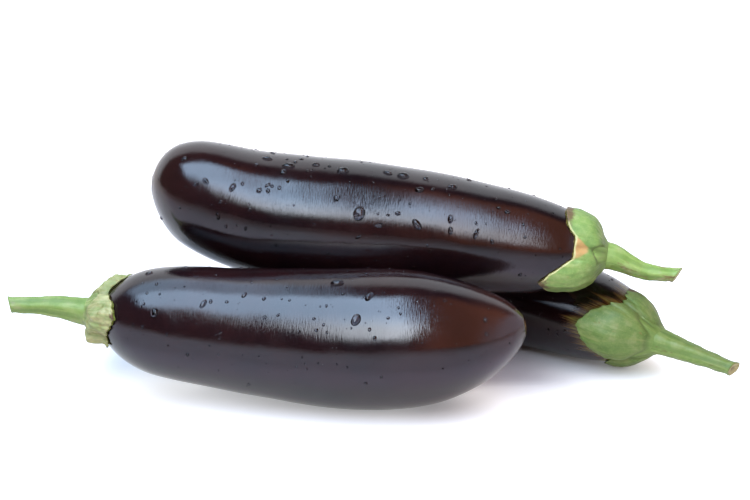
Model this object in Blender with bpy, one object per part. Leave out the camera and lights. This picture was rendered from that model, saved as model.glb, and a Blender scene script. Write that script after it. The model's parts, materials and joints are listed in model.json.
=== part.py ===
"""Three eggplants stacked on a table, modelled in Blender.

Two of them lie on the table and the third lies across both. Each one is a fruit, the lobed calyx on
its shoulder and the cut stem. +X is along the front fruit, +Y goes away from the viewer and +Z is up.
Sizes are in millimetres here and in metres in the scene.
"""

import math

import bmesh
import bpy
from mathutils import Vector

MM = 0.001
CLEARANCE = 0.3
LOBE_EDGE = 1.3
FRUIT_RINGS = 34
FRUIT_SIDES = 28
CALYX_SIDES = 40
# Rows of the calyx: up the inner face, round the edge and down the outer face.
CALYX_FACE_ROWS = 4
STEM_RINGS = 11
STEM_SIDES = 16
TABLE_DEPTH = 40.0
# The stack is set down with the middle of its own box on the origin.
SET_DOWN = (0.3, -73.3, 0.0)

# path: points along the middle of the fruit, from the blossom end to the stem end.
# profile: (share of the path, radius). Both ends close in a round pole.
# stem: (distance from the pole, radius). stem_path: points beyond the collar, to the cut.
# collar: height of the calyx round the stem. notch: its reach along the skin between two lobes.
# lobes: (angle round the stem from straight up, reach along the skin, half width in degrees,
# lift off the skin at the tip, bluntness).
FRONT = {
    "path": [(70.5, -4.0, 42.6), (28.0, 0.0, 33.0), (-30.0, 6.0, 32.0), (-85.0, 15.0, 35.4), (-132.0, 22.0, 38.8)],
    "profile": [(0.07, 20.0), (0.22, 33.6), (0.45, 33.6), (0.70, 28.2), (0.88, 26.8), (0.97, 15.8)],
    "stem": [(0.0, 6.7), (6.0, 6.5), (14.0, 5.6), (24.0, 4.5), (34.0, 3.8), (44.0, 3.5)],
    "stem_path": [(-152.0, 23.5, 42.2), (-174.5, 24.0, 42.6)],
    "collar": 5.8,
    "notch": 15.5,
    "lobes": [(2.0, 27.0, 36.0, 1.6, 1.7), (70.0, 24.5, 34.0, 1.6, 1.5), (126.0, 23.0, 30.0, 1.8, 1.8),
              (196.0, 21.0, 38.0, 0.8, 1.6), (278.0, 22.0, 42.0, 0.8, 1.6)],
}
TOP = {
    "path": [(-108.0, 54.2, 93.8), (-90.0, 54.2, 92.4), (-62.0, 53.7, 78.6), (-15.0, 53.2, 74.6),
             (36.0, 52.7, 69.2), (77.0, 51.2, 63.3), (110.0, 49.2, 59.3)],
    "profile": [(0.02, 16.4), (0.07, 24.6), (0.16, 28.5), (0.32, 31.2), (0.52, 30.8), (0.70, 27.8),
                (0.86, 23.8), (0.96, 17.4)],
    "stem": [(0.0, 6.4), (5.0, 6.1), (12.0, 5.0), (20.0, 4.0), (30.0, 3.5), (38.0, 3.3)],
    "stem_path": [(130.0, 47.2, 50.6), (147.0, 46.0, 50.0)],
    "collar": 5.0,
    "notch": 18.0,
    "lobes": [(8.0, 30.0, 56.0, 0.5, 2.0), (124.0, 39.0, 54.0, 0.6, 1.5), (194.0, 24.0, 34.0, 0.3, 1.6),
              (274.0, 29.0, 44.0, 0.4, 1.5)],
}
BACK = {
    "path": [(-45.0, 168.0, 26.6), (-5.0, 139.0, 26.2), (45.0, 108.0, 26.2), (95.0, 74.0, 25.2), (133.0, 43.0, 19.2)],
    "profile": [(0.03, 20.0), (0.12, 25.4), (0.35, 27.2), (0.60, 26.3), (0.80, 24.0), (0.90, 21.0), (0.97, 15.0)],
    "stem": [(0.0, 7.0), (6.0, 6.7), (14.0, 5.6), (24.0, 4.7), (34.0, 3.9), (42.0, 3.4)],
    "stem_path": [(156.0, 29.0, 14.4), (172.5, 21.5, 10.6)],
    "collar": 6.0,
    "notch": 20.5,
    "lobes": [(-14.0, 27.0, 42.0, 0.5, 1.5), (90.0, 36.0, 64.0, 0.3, 2.2), (180.0, 30.0, 40.0, 0.3, 1.5),
              (262.0, 30.0, 46.0, 0.3, 1.5)],
}

SKIN = (0.018, 0.009, 0.014, 1.0)
CALYX_GREEN = (0.28, 0.42, 0.14, 1.0)
STEM_GREEN = (0.36, 0.50, 0.18, 1.0)


def clear_scene():
    for obj in list(bpy.data.objects):
        bpy.data.objects.remove(obj, do_unlink=True)


def material(name, color, roughness):
    mat = bpy.data.materials.new(name)
    mat.use_nodes = True
    shader = mat.node_tree.nodes["Principled BSDF"]
    shader.inputs["Base Color"].default_value = color
    shader.inputs["Roughness"].default_value = roughness
    return mat


def collection(name, helper=False):
    found = bpy.data.collections.new(name)
    bpy.context.scene.collection.children.link(found)
    found.hide_render = helper
    return found


def spline(points, count):
    """Points of a uniform cubic B-spline over the control points."""
    out = []
    spans = len(points) - 3
    for step in range(count):
        t = spans * step / (count - 1)
        k = min(int(t), spans - 1)
        u = t - k
        weights = ((1 - u) ** 3, 3 * u**3 - 6 * u**2 + 4, -3 * u**3 + 3 * u**2 + 3 * u + 1, u**3)
        total = Vector([0.0] * len(points[0]))
        for weight, point in zip(weights, points[k : k + 4]):
            total += Vector(point) * (weight / 6)
        out.append(total)
    return out


def through_ends(points):
    """The control points with one more beyond each end, so that the spline starts and stops on them."""
    first, last = Vector(points[0]), Vector(points[-1])
    return [2 * first - Vector(points[1]), *points, 2 * last - Vector(points[-2])]


def round_ends(profile):
    """The (share, radius) control points mirrored in the path at both ends, which rounds the poles."""
    (first, first_radius), (last, last_radius) = profile[0], profile[-1]
    start = [(first, -first_radius), (-first / 2, 0.0)]
    end = [((3 - last) / 2, 0.0), (last, -last_radius)]
    return [*start, *profile, *end]


class Body:
    """One fruit's shape: its middle line, its turned profile and its skin."""

    def __init__(self, eggplant):
        self.line = spline(through_ends(eggplant["path"]), 241)
        self.lengths = [0.0]
        for a, b in zip(self.line, self.line[1:]):
            self.lengths.append(self.lengths[-1] + (b - a).length)
        self.length = self.lengths[-1]
        self.profile = spline(round_ends(eggplant["profile"]), 241)
        self.profile[0] = Vector((0.0, 0.0))
        self.profile[-1] = Vector((1.0, 0.0))
        # Distance along the skin, back from the pole at the stem end.
        self.reach = [0.0]
        for a, b in zip(self.profile[::-1], self.profile[-2::-1]):
            step = Vector(((b.x - a.x) * self.length, b.y - a.y)).length
            self.reach.append(self.reach[-1] + step)

    def middle(self, share):
        """The point of the middle line at this share of its length, and its direction."""
        want = min(max(share, 0.0), 1.0) * self.length
        k = 0
        while k < len(self.line) - 2 and self.lengths[k + 1] < want:
            k += 1
        step = self.lengths[k + 1] - self.lengths[k]
        point = self.line[k].lerp(self.line[k + 1], (want - self.lengths[k]) / step)
        a, b = self.line[max(k - 1, 0)], self.line[min(k + 2, len(self.line) - 1)]
        return point, (b - a).normalized()

    def ring(self, index):
        share, radius = self.profile[index]
        return self.middle(share)[0], radius

    def reach_of_radius(self, radius):
        """The distance along the skin, from the stem pole, at which it is this far from the middle."""
        k = 0
        while self.profile[-2 - k].y < radius:
            k += 1
        low, high = self.profile[-1 - k].y, self.profile[-2 - k].y
        return self.reach[k] + (self.reach[k + 1] - self.reach[k]) * (radius - low) / (high - low)

    def skin(self, distance, angle, offset):
        """A point above the skin, at a distance along it from the stem pole and an angle from up."""
        k = 0
        while k < len(self.reach) - 2 and self.reach[k + 1] < distance:
            k += 1
        share_of_step = (distance - self.reach[k]) / (self.reach[k + 1] - self.reach[k])
        a, b = self.profile[-1 - k], self.profile[-2 - k]
        share, radius = a.lerp(b, share_of_step)
        slope = Vector(((a.x - b.x) * self.length, a.y - b.y)).normalized()
        middle, along = self.middle(share)
        side = along.cross(Vector((0.0, 0.0, 1.0))).normalized()
        up = side.cross(along)
        out = up * math.cos(angle) + side * math.sin(angle)
        return middle + out * (radius + slope.x * offset) - along * (slope.y * offset)


def turned_to_viewer(body):
    """+1 or -1: the sense in which an angle from up turns towards the viewer, who is at -Y."""
    _, along = body.middle(1.0)
    side = along.cross(Vector((0.0, 0.0, 1.0)))
    return 1.0 if side.y < 0 else -1.0


def swept(name, rings, sides, home):
    """A mesh swept along the rings' centres, with each ring's own radius and closed flat ends."""
    curve = bpy.data.curves.new(name, "CURVE")
    curve.dimensions = "3D"
    curve.bevel_depth = 1.0
    curve.bevel_resolution = (sides - 4) // 2
    curve.use_fill_caps = True
    spline_data = curve.splines.new("POLY")
    spline_data.points.add(len(rings) - 1)
    for point, (centre, radius) in zip(spline_data.points, rings):
        point.co = (*(centre * MM), 1.0)
        point.radius = radius * MM
    obj = bpy.data.objects.new(name + "_sweep", curve)
    home.objects.link(obj)
    bpy.context.view_layer.update()
    graph = bpy.context.evaluated_depsgraph_get()
    mesh = bpy.data.meshes.new_from_object(obj.evaluated_get(graph))
    bpy.data.objects.remove(obj)
    bm = bmesh.new()
    bm.from_mesh(mesh)
    bmesh.ops.remove_doubles(bm, verts=bm.verts, dist=0.01 * MM)
    bmesh.ops.recalc_face_normals(bm, faces=bm.faces)
    bm.to_mesh(mesh)
    bm.free()
    mesh.shade_smooth()
    solid = bpy.data.objects.new(name, mesh)
    home.objects.link(solid)
    return solid


def fruit(name, body, home):
    step = 240 / FRUIT_RINGS
    places = [1.5] + [i * step for i in range(1, FRUIT_RINGS)] + [238.5]
    return swept(name, [body.ring(round(place)) for place in places], FRUIT_SIDES, home)


def lobe_shape(eggplant, angle):
    """How far the calyx reaches along the skin at this angle, and how far its edge is lifted."""
    reach, lift = eggplant["notch"], 0.0
    for middle, tip, half_width, raised, blunt in eggplant["lobes"]:
        away = (math.degrees(angle) - middle + 180.0) % 360.0 - 180.0
        part = max(0.0, 1.0 - abs(away / half_width) ** blunt) ** 1.1
        reach += (tip - eggplant["notch"]) * part
        lift += raised * part
    return reach, lift


def calyx_point(eggplant, body, angle, row):
    """Row 0 is at the hole on the inner face. The last row is at the hole on the outer face."""
    turn = turned_to_viewer(body)
    hole = eggplant["stem"][0][1] + CLEARANCE
    reach, lift = lobe_shape(eggplant, angle)
    rows = CALYX_FACE_ROWS
    last = 2 * rows + 2
    out = min(row, last - row, rows) / rows
    start = body.reach_of_radius(hole)
    distance = start + (reach - start) * out
    under = CLEARANCE + lift * out**2
    thick = LOBE_EDGE + (eggplant["collar"] * 0.95 - LOBE_EDGE) * (1.0 - out) ** 1.2
    if row <= rows:
        return body.skin(distance, angle * turn, under)
    if row == rows + 1:
        return body.skin(distance + LOBE_EDGE * 0.35, angle * turn, under + LOBE_EDGE * 0.5)
    place = body.skin(distance, angle * turn, under + thick)
    pole, along = body.middle(1.0)
    rim = body.skin(start, angle * turn, 0.0) - pole
    rim = pole + (rim - along * rim.dot(along)) + along * eggplant["collar"]
    return place.lerp(rim, max(0.0, 1.0 - out * 3.0) ** 1.5)


def calyx(name, eggplant, body, home):
    """A lobed cup that follows the fruit's shoulder, open in the middle for the stem."""
    rows = 2 * CALYX_FACE_ROWS + 2
    bm = bmesh.new()
    bmesh.ops.create_grid(bm, x_segments=CALYX_SIDES, y_segments=rows, size=1.0)
    for vert in bm.verts:
        angle = math.pi * vert.co.x
        row = round((vert.co.y + 1.0) / 2 * rows)
        vert.co = calyx_point(eggplant, body, angle, row) * MM
    bmesh.ops.remove_doubles(bm, verts=bm.verts, dist=0.01 * MM)
    hole_edges = [edge for edge in bm.edges if edge.is_boundary]
    bmesh.ops.bridge_loops(bm, edges=hole_edges)
    bmesh.ops.recalc_face_normals(bm, faces=bm.faces)
    mesh = bpy.data.meshes.new(name)
    bm.to_mesh(mesh)
    bm.free()
    mesh.shade_smooth()
    obj = bpy.data.objects.new(name, mesh)
    home.objects.link(obj)
    return obj


def stem(name, eggplant, body, home):
    """The stem from just above the fruit's pole to its cut end, thinner all the way along."""
    pole, along = body.middle(1.0)
    collar = eggplant["collar"]
    path = [pole + along * (CLEARANCE + collar * part) for part in (0.0, 0.7, 1.4)]
    centres = spline(through_ends([*path, *eggplant["stem_path"]]), STEM_RINGS)
    radii = spline(through_ends(eggplant["stem"]), STEM_RINGS)
    rings = [(centre, radius) for centre, (_, radius) in zip(centres, radii)]
    return swept(name, rings, STEM_SIDES, home)


def table_cutter(home):
    bpy.ops.mesh.primitive_cube_add(size=1.0, location=(0.0, 0.08, -TABLE_DEPTH / 2 * MM))
    cutter = bpy.context.active_object
    cutter.name = "table_below"
    cutter.scale = (0.5, 0.5, TABLE_DEPTH * MM)
    cutter.display_type = "WIRE"
    cutter.hide_render = True
    for owner in list(cutter.users_collection):
        owner.objects.unlink(cutter)
    home.objects.link(cutter)
    return cutter


def rest_on_table(obj, cutter):
    cut = obj.modifiers.new("flat_where_it_rests", "BOOLEAN")
    cut.operation = "DIFFERENCE"
    cut.solver = "EXACT"
    cut.object = cutter


def main():
    clear_scene()
    home = collection("eggplants")
    helpers = collection("helpers", helper=True)
    skin = material("eggplant_skin", SKIN, 0.18)
    calyx_green = material("calyx_green", CALYX_GREEN, 0.6)
    stem_green = material("stem_green", STEM_GREEN, 0.6)
    cutter = table_cutter(helpers)
    stack = bpy.data.objects.new("eggplants", None)
    stack.location = Vector(SET_DOWN) * MM
    home.objects.link(stack)
    for place, eggplant in (("front", FRONT), ("top", TOP), ("back", BACK)):
        body = Body(eggplant)
        pieces = (
            (fruit(place + "_fruit", body, home), skin),
            (calyx(place + "_calyx", eggplant, body, home), calyx_green),
            (stem(place + "_stem", eggplant, body, home), stem_green),
        )
        for obj, mat in pieces:
            obj.data.materials.clear()
            obj.data.materials.append(mat)
            obj.parent = stack
        if place != "top":
            rest_on_table(pieces[0][0], cutter)
    cutter.parent = stack


main()
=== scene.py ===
"""Three wet eggplants stacked on a pale table: glossy skins, green calyxes, cut stems and drops of water."""

import json
import math

import bpy
import numpy as np
from bpy.props import FloatProperty, FloatVectorProperty, IntProperty, PointerProperty
from mathutils import Matrix, Vector, noise
from mathutils.bvhtree import BVHTree

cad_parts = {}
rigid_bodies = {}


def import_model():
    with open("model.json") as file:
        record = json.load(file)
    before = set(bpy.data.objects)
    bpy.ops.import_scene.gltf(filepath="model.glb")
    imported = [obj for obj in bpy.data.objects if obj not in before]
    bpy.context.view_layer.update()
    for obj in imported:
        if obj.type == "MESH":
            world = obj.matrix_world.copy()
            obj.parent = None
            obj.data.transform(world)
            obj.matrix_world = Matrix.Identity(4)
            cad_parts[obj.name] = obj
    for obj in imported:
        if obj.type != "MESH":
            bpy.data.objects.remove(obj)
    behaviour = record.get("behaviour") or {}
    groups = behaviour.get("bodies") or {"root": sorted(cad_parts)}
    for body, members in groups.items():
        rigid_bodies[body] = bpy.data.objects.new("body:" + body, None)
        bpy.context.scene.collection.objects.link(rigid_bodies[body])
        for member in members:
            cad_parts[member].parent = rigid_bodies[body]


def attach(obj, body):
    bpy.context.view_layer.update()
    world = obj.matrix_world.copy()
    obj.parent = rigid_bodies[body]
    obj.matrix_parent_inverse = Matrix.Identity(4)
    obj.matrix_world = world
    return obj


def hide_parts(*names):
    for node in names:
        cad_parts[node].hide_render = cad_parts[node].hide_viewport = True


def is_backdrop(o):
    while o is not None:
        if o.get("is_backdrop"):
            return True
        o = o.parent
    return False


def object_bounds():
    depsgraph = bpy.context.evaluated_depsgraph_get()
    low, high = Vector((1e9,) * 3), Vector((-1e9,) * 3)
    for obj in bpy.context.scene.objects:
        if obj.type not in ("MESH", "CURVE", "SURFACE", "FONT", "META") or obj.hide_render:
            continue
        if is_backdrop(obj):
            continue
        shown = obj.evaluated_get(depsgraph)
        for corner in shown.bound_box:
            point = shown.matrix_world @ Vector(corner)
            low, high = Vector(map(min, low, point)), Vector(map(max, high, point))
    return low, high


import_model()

bl_info = {
    "name": "Stacked eggplants",
    "version": (1, 0, 0),
    "blender": (4, 5, 0),
    "location": "3D View > Sidebar > Eggplants",
    "description": "Three wet eggplants with lobed calyxes and cut stems",
    "category": "Add Mesh",
}

MM = 0.001
CAD_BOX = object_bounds()
# The stack is set down with the middle of its own box on the origin.
SET_DOWN = np.array((0.3, -73.3, 0.0))
CLEARANCE = 0.3
SAMPLES = 481

# All lengths here are in millimetres.
# path: points along the middle of the fruit, from the blossom end to the stem end.
# profile: (share of the path, radius). Both ends close in a round pole.
# stem: (distance from the pole, radius). stem_path: points beyond the collar, to the cut.
# collar: height of the calyx round the stem. notch: its reach along the skin between two lobes.
# lobes: (angle round the stem from straight up, reach along the skin, half width in degrees,
# lift off the skin at the tip, bluntness, how dry its tip is).
# border: how far the pale skin runs out from under the calyx. crumple: height of the calyx's folds.
# pad: how far a lobe swells in its middle. scorch: how brown the stem is. flare: how far the stem widens at its root.
# ragged: how uneven the lobes' edges are. web: reach of the thin tissue between lobes. neck: how far up the stem
# the calyx climbs, in collars. bulge: (angle, height) of the swelling beside the stem. chalk: how pale the calyx
# is. cream: how light its rim is. slant: how far the cut leans, upwards and sideways.
EGGPLANTS = {
    "front": {
        "path": [(70.5, -4, 42.6), (28, 0, 33), (-30, 6, 32), (-85, 15, 35.4), (-132, 22, 38.8)],
        "profile": [(0.07, 20), (0.22, 33.6), (0.45, 33.6), (0.70, 28.2), (0.88, 26.8), (0.97, 15.8)],
        "stem": [(0, 6.7), (6, 6.5), (14, 5.6), (24, 4.5), (34, 3.8), (44, 3.5)],
        "stem_path": [(-152, 23.5, 42.2), (-174.5, 24, 42.6)],
        "collar": 5.8, "notch": 14,
        "lobes": [(-14, 25, 30, 0.2, 1.5, 0.3), (72, 23.8, 48, 0.6, 1.4, 0.5), (126, 20, 20, 0.5, 1.4, 0.5),
                  (196, 19, 38, 0.4, 1.6, 0.4), (278, 21, 42, 0.4, 1.6, 0.3)],
        "border": 0.1, "crumple": 1.9, "pad": 1, "scorch": 0.15, "flare": 0.3, "ragged": 1.5, "web": 13.5,
        "neck": 1.15, "bulge": (140, 3.4), "chalk": 0.8, "cream": 0.35, "slant": (0.8, 1),
    },
    "top": {
        "path": [(-108, 54.2, 93.8), (-90, 54.2, 92.4), (-62, 53.7, 78.6), (-15, 53.2, 74.6),
                 (36, 52.7, 69.2), (77, 51.2, 63.3), (110, 49.2, 59.3)],
        "profile": [(0.02, 16.4), (0.07, 24.6), (0.16, 28.5), (0.32, 31.2), (0.52, 30.8), (0.70, 27.8),
                    (0.86, 23.8), (0.96, 17.4)],
        "stem": [(0, 6.4), (5, 6.1), (12, 5), (20, 4), (30, 3.5), (38, 3.3)],
        "stem_path": [(130, 47.2, 50.6), (147, 46, 50)],
        "collar": 5, "notch": 18,
        "lobes": [(8, 30, 56, 0.15, 3, 1), (122, 39.5, 52, 0.2, 1.25, 0.9), (194, 24, 34, 0.2, 1.6, 0.3),
                  (274, 29, 44, 0.2, 1.5, 0.4)],
        "border": 0.8, "crumple": 0.35, "pad": 1.7, "scorch": 0.8, "flare": 0.4, "ragged": 0.7, "web": 24.5,
        "neck": 0.6, "bulge": (60, 0.6), "chalk": 0, "cream": 0.9, "slant": (1.9, -1.4),
    },
    "back": {
        "path": [(-45, 168, 26.6), (-5, 139, 26.2), (45, 108, 26.2), (95, 74, 25.2), (133, 43, 19.2)],
        "profile": [(0.03, 20), (0.12, 25.4), (0.35, 27.2), (0.60, 26.3), (0.80, 24), (0.90, 21), (0.97, 15)],
        "stem": [(0, 7), (6, 6.7), (14, 5.6), (24, 4.7), (34, 3.9), (42, 3.4)],
        "stem_path": [(156, 29, 14.4), (172.5, 21.5, 10.6)],
        "collar": 6, "notch": 20.5,
        "lobes": [(-14, 25, 40, 0.1, 1.3, 1.6), (82, 37.5, 60, 0.1, 1.3, 0.1), (180, 30, 40, 0.2, 1.5, 0.3),
                  (262, 30, 46, 0.2, 1.5, 0.3)],
        "border": 8, "crumple": 0.3, "pad": 1, "scorch": 0.2, "flare": 0.3, "ragged": 1.6, "web": 20,
        "neck": 1.4, "bulge": (90, 0), "chalk": 0, "cream": 0.2, "slant": (0.6, -1.6),
    },
}

FRUIT_SIDES = 144
FRUIT_RINGS = 236
CALYX_SIDES = 260
CALYX_INNER, CALYX_RIM, CALYX_OUTER = 6, 4, 30
LOBE_EDGE = 0.75
# Size of the lumps in the skin's slow and quick waves.
SLOW_WAVE, QUICK_WAVE = 34.0, 9.0
STEM_SIDES = 72
STEM_RINGS = 90

# Where the viewer stands, which sets the camera and where the large drops lie.
VIEW_TARGET = Vector((0.0003, -0.0533, 0.0712))
VIEW_TILT = math.radians(18.0)
VIEW_DISTANCE = 1.0
VIEW_LENS = 101.76
VIEW_RIGHT = Vector((1.0, 0.0, 0.0))
VIEW_UP = Vector((0.0, math.sin(VIEW_TILT), math.cos(VIEW_TILT)))
VIEW_FORWARD = Vector((0.0, math.cos(VIEW_TILT), -math.sin(VIEW_TILT)))
VIEW_EYE = VIEW_TARGET - VIEW_FORWARD * VIEW_DISTANCE

# The large drops on each fruit: (across, up, length, width, turn). Across and up are in the plane
# that faces the viewer through VIEW_TARGET, and turn is from upright, clockwise in degrees.
LARGE_DROPS = {
    "front": [
        (-81, -25.5, 4.8, 2.5, 30), (-61.6, -21.3, 3.4, 1.7, 35), (-52.3, -23, 2.2, 1.6, 40),
        (-22.9, -26.4, 1.6, 1.3, 0), (-17.9, -15.8, 6.4, 3.4, 85), (-15, -20.7, 1.8, 1.3, 70),
        (-2.8, -22, 5.4, 3.1, 28), (-9, -33, 6.0, 4.3, 25), (-22.6, -38.9, 1.8, 1.2, 10),
        (-104, -29.6, 4.6, 3.6, 12), (-109, -25.5, 1.6, 1.2, 20), (-104.5, -60, 6.0, 3.6, 88),
        (-106.5, -11, 3.6, 2.0, 80), (-103, -16, 1.9, 1.4, 30), (-107.5, -20.3, 1.5, 1.2, 0),
        (-101.6, -20.8, 1.5, 1.2, 0), (12, -30, 1.5, 1.2, 0), (33, -24, 1.8, 1.3, 20), (52, -33, 2.4, 1.7, 15),
        (-46, -31, 1.3, 1.1, 0),
    ],
    "top": [
        (-27.8, 40.2, 3.8, 2.6, 70), (-29.7, 37.5, 1.8, 1.4, 40), (-30.2, 34.4, 1.6, 1.3, 0),
        (-15.1, 37.3, 6.2, 4.0, 60), (-5.7, 43.4, 1.8, 1.4, 90), (8.5, 40.6, 3.2, 2.0, 90),
        (6, 36.2, 4.6, 2.2, 120), (13.3, 34.9, 6.0, 4.0, 75), (23.9, 33.5, 3.2, 2.4, 60),
        (20.9, 28.3, 4.4, 3.2, 75), (36.6, 29.7, 4.8, 2.7, 75), (27.2, 28.6, 2.4, 1.6, 90),
        (-18.1, 24.5, 3.6, 2.8, 25), (-0.9, 31.8, 1.5, 1.2, 0), (-7.5, 17.2, 7.2, 5.6, 20),
        (1.9, 11.6, 4.6, 1.8, 85), (-7.8, 6.1, 3.2, 1.3, 60), (10.8, 17.2, 3.0, 2.0, 85),
        (6.1, 16.5, 1.9, 1.3, 90), (1.4, 17, 1.4, 1.2, 0), (19.8, 12, 6.0, 3.4, -38), (35.6, 14.6, 4.4, 2.8, 10),
        (35.6, 9.1, 3.8, 2.6, 0), (47.5, 7.5, 4.8, 2.2, 20), (16.5, 21.8, 1.4, 1.2, 0),
        (-89.7, 43, 3.0, 2.0, 60), (-84.5, 31.1, 3.2, 1.9, 60), (-79.9, 32.5, 3.6, 2.5, -40),
        (-67.2, 29.5, 4.8, 2.8, 30), (-54.7, 28.1, 3.0, 2.5, 45), (-50.6, 30.6, 3.6, 1.5, 50),
        (-50.8, 43.1, 5.2, 2.4, 88), (-56, 40.3, 2.4, 1.5, 90), (-50.9, 46.7, 2.6, 1.2, 90),
        (-48.6, 45.8, 2.2, 1.3, 95), (-59.4, 47.9, 1.6, 1.2, 90), (-40.8, 39.5, 6.2, 3.6, 80),
        (-43.2, 36.7, 3.6, 2.8, 30), (-32, 37.3, 1.6, 1.3, 0), (-74.1, 16, 3.6, 2.1, -10),
        (-72.6, 22.9, 2.3, 1.7, 60), (-100.8, 15, 1.8, 1.3, 0), (-38.3, 21.1, 1.3, 1.1, 0),
        (-61, 10.1, 2.3, 1.5, 20), (62, 18, 2.4, 1.7, 30), (70, 12, 1.8, 1.4, 0), (57, 24, 2.0, 1.4, 60),
    ],
    "back": [
        (78, -30, 1.8, 1.3, 20), (86, -40, 2.0, 1.4, 0), (112, -14, 1.6, 1.2, 0),
    ],
}


def spline(points, count):
    """Points of a uniform cubic B-spline over the control points."""
    points = np.array(points, float)
    spans = len(points) - 3
    t = np.linspace(0.0, spans, count)
    k = np.minimum(t.astype(int), spans - 1)
    u = (t - k)[:, None]
    weights = ((1 - u) ** 3, 3 * u**3 - 6 * u**2 + 4, -3 * u**3 + 3 * u**2 + 3 * u + 1, u**3)
    return sum(weight / 6 * points[k + i] for i, weight in enumerate(weights))


def through_ends(points):
    """The control points with one more beyond each end, so that the spline starts and stops on them."""
    points = np.array(points, float)
    return np.vstack([2 * points[0] - points[1], points, 2 * points[-1] - points[-2]])


def round_ends(profile):
    """The (share, radius) control points mirrored in the path at both ends, which rounds the poles."""
    (first, first_radius), (last, last_radius) = profile[0], profile[-1]
    return [(first, -first_radius), (-first / 2, 0.0), *profile, ((3 - last) / 2, 0.0), (last, -last_radius)]


def smooth(value, low, high):
    """0 below low, 1 above high and an even curve between them."""
    t = np.clip((value - low) / (high - low), 0.0, 1.0)
    return t * t * (3 - 2 * t)


def roughen(points, size, octaves=2):
    """Soft noise from -1 to 1 at each point, with lumps of this size."""
    flat = np.asarray(points).reshape(-1, 3) / size
    lumps = [noise.fractal(Vector(point), 1.0, 2.0, octaves) for point in flat]
    return np.array(lumps).reshape(np.asarray(points).shape[:-1])


def unit(vectors):
    """The vectors' directions, at a length of 1."""
    return vectors / np.linalg.norm(vectors, axis=-1, keepdims=True)


class Body:
    """One fruit's shape: its middle line, its turned profile and its skin."""

    def __init__(self, eggplant):
        self.line = spline(through_ends(eggplant["path"]), SAMPLES) + SET_DOWN
        steps = np.linalg.norm(np.diff(self.line, axis=0), axis=1)
        self.lengths = np.concatenate([[0.0], np.cumsum(steps)])
        self.length = self.lengths[-1]
        self.ways = unit(np.gradient(self.line, axis=0))
        profile = spline(round_ends(eggplant["profile"]), SAMPLES)
        profile[0], profile[-1] = (0.0, 0.0), (1.0, 0.0)
        # Walking back along the skin from the pole at the stem end.
        self.share, self.radius = profile[::-1].T
        steps = np.hypot(np.diff(self.share) * self.length, np.diff(self.radius))
        self.reach = np.concatenate([[0.0], np.cumsum(steps)])
        self.slope = unit(np.stack([-np.gradient(self.share * self.length), -np.gradient(self.radius)], -1))
        side = np.cross(self.ways[-1], (0.0, 0.0, 1.0))
        self.turn = 1.0 if side[1] < 0 else -1.0

    def middle(self, share):
        """Points of the middle line at these shares of its length, and its direction there."""
        at = np.clip(share, 0.0, 1.0) * self.length
        point = np.stack([np.interp(at, self.lengths, self.line[:, i]) for i in range(3)], -1)
        along = unit(np.stack([np.interp(at, self.lengths, self.ways[:, i]) for i in range(3)], -1))
        return point, along

    def skin(self, distance, angle, offset):
        """Points above the skin, at distances along it from the stem pole and angles from up towards the viewer."""
        distance, angle, offset = np.broadcast_arrays(distance, angle, offset)
        middle, along = self.middle(np.interp(distance, self.reach, self.share))
        radius = np.interp(distance, self.reach, self.radius)
        ahead = np.interp(distance, self.reach, self.slope[:, 0])
        rise = np.interp(distance, self.reach, self.slope[:, 1])
        side = unit(np.cross(along, (0.0, 0.0, 1.0)))
        up = np.cross(side, along)
        out = up * np.cos(angle)[..., None] + side * (np.sin(angle) * self.turn)[..., None]
        return middle + out * (radius + ahead * offset)[..., None] - along * (rise * offset)[..., None]

    def reach_of_radius(self, radius):
        """The distance along the skin, from the stem pole, at which it is this far from the middle."""
        k = int(np.argmax(self.radius >= radius))
        return np.interp(radius, self.radius[k - 1 : k + 1], self.reach[k - 1 : k + 1])

    def gap(self, points):
        """How far points are from this skin, roughly."""
        line = self.line[:: SAMPLES // 60]
        radius = np.interp(self.lengths[:: SAMPLES // 60] / self.length, self.share[::-1], self.radius[::-1])
        away = np.linalg.norm(points[:, None, :] - line[None], axis=-1) - radius[None]
        return away.min(axis=1)


BODIES = {place: Body(eggplant) for place, eggplant in EGGPLANTS.items()}


def wrapped(name, rows, attributes, end_caps=True):
    """A mesh from rows of points that close round. With end_caps the first and last row are a pole each,
    otherwise the last row joins the first. Attributes hold one value or vector for each point, row or column."""

    def flattened(values):
        inner = values[1:-1] if end_caps else values
        inner = inner.reshape(-1, *values.shape[2:])
        return np.concatenate([values[0, :1], inner, values[-1, :1]]) if end_caps else inner

    count, sides = rows.shape[:2]
    around = np.arange(sides)
    ahead = (around + 1) % sides
    points = flattened(rows)
    if end_caps:
        start = np.arange(count - 3)[:, None] * sides + 1
        after = start + sides
    else:
        start = np.arange(count)[:, None] * sides
        after = (start + sides) % (count * sides)
    faces = np.stack([start + around, start + ahead, after + ahead, after + around], -1).reshape(-1, 4).tolist()
    if end_caps:
        last = len(points) - 1
        end = last - sides
        faces += [(0, int(k) + 1, int(j) + 1) for j, k in zip(around, ahead)]
        faces += [(last, int(j) + end, int(k) + end) for j, k in zip(around, ahead)]
    mesh = bpy.data.meshes.new(name)
    mesh.from_pydata((points * MM).tolist(), [], faces)
    for key, values in attributes.items():
        values = np.asarray(values, np.float32)
        vector = values.ndim == 3
        values = flattened(values if vector else np.broadcast_to(values, rows.shape[:2]))
        layer = mesh.attributes.new(key, "FLOAT_VECTOR" if vector else "FLOAT", "POINT")
        layer.data.foreach_set("vector" if vector else "value", values.ravel())
    face_outwards(mesh)
    mesh.shade_smooth()
    return mesh


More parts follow.
